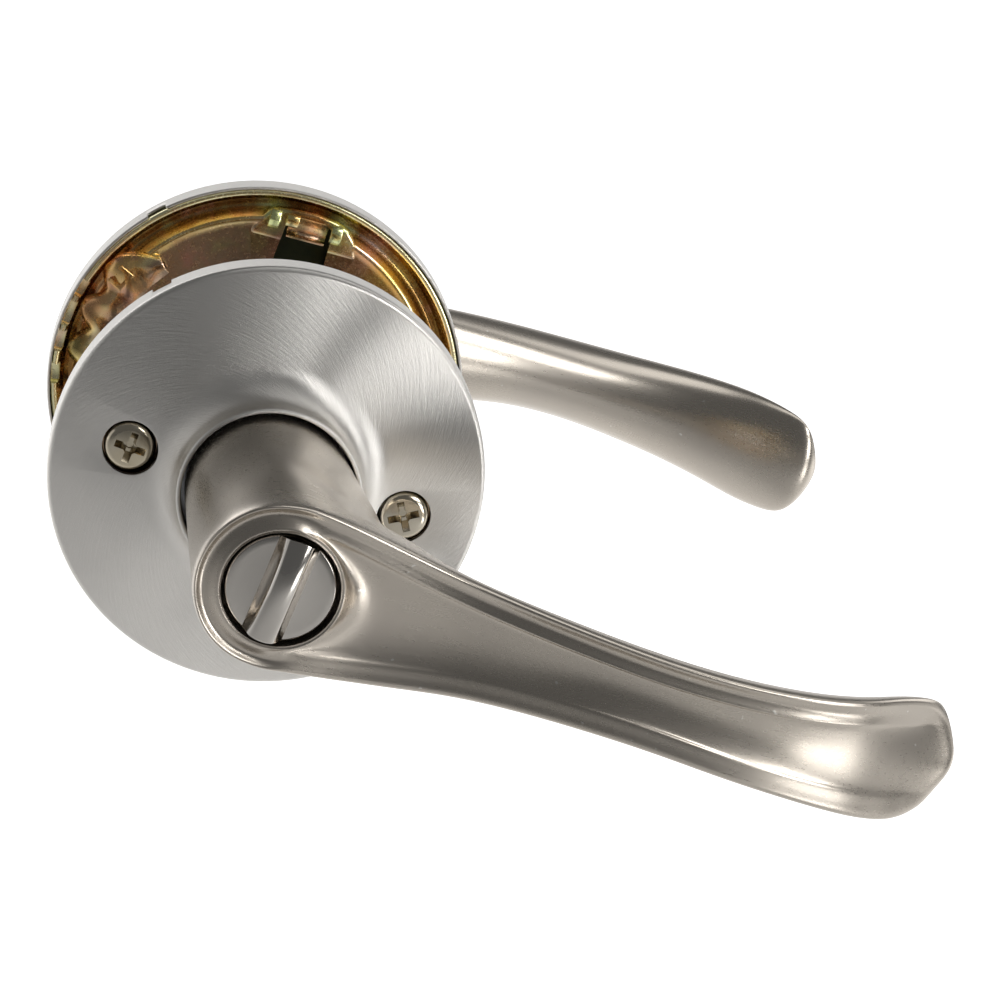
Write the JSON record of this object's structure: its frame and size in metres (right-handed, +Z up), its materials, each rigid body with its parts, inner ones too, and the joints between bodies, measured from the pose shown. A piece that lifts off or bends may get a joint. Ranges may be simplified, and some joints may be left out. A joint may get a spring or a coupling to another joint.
{
  "type": "door lever handle set",
  "caption": "Privacy door lever set in satin nickel: inside and outside wave levers on round roses, turn button, through-screws, posts and a spindle.",
  "frame": {"origin": "on the spindle axis, midway between the two roses, which is the middle of the door", "axes": "+Z up, Y along the spindle with the inside half at -Y and the outside half at +Y, levers pointing along +X"},
  "size_m": [0.1362, 0.158, 0.066],
  "materials": {
    "satin_nickel": "satin nickel plate, fine brushed grain, semi-gloss",
    "button_nickel": "bright satin nickel plate",
    "screw_nickel": "nickel plate with a faint yellow tint at the edges",
    "yellow_zinc": "yellow iridescent chromate on zinc plate",
    "bright_zinc": "clear zinc plate",
    "spring_steel": "oiled spring steel",
    "nylon": "natural nylon"
  },
  "bodies": {
    "chassis": {"inside_rose": "satin_nickel", "inside_mounting_plate": "yellow_zinc", "inside_spring_cage": "bright_zinc", "inside_return_spring": "spring_steel", "inside_bushing": "nylon", "outside_rose": "satin_nickel", "outside_mounting_plate": "yellow_zinc", "outside_spring_cage": "bright_zinc", "outside_return_spring": "spring_steel", "outside_bushing": "nylon", "through_screw_left": "screw_nickel", "through_screw_right": "screw_nickel", "post_left": "bright_zinc", "post_right": "bright_zinc"},
    "inside_lever": {"inside_lever": "satin_nickel", "inside_lever_catch": "spring_steel", "inside_drive_tube": "bright_zinc", "inside_retaining_ring": "spring_steel", "inside_thrust_washer": "nylon"},
    "outside_lever": {"outside_lever": "satin_nickel", "outside_lever_catch": "spring_steel", "outside_drive_tube": "bright_zinc", "outside_retaining_ring": "spring_steel", "outside_thrust_washer": "nylon", "spindle": "bright_zinc"},
    "turn_button": {"turn_button": "button_nickel", "turn_button_clip": "spring_steel", "privacy_bar": "bright_zinc"}
  },
  "joints": [
    {"name": "inside_lever_turn", "type": "hinge", "parent": "chassis", "child": "inside_lever", "pos_m": [0, 0, 0], "axis": [0, 1, 0], "range_deg": [-50, 50], "stiffness_Nm_per_rad": 1.2, "springref_deg": -1.78},
    {"name": "outside_lever_turn", "type": "hinge", "parent": "chassis", "child": "outside_lever", "pos_m": [0, 0, 0], "axis": [0, 1, 0], "range_deg": [-50, 50], "stiffness_Nm_per_rad": 1.2, "springref_deg": -1.78},
    {"name": "turn_button_turn", "type": "hinge", "parent": "inside_lever", "child": "turn_button", "pos_m": [0, 0, 0], "axis": [0, 1, 0], "range_deg": [0, 90]}
  ],
  "couplings": [
    {"joint": "outside_lever_turn", "follows": "inside_lever_turn", "ratio": 1}
  ]
}
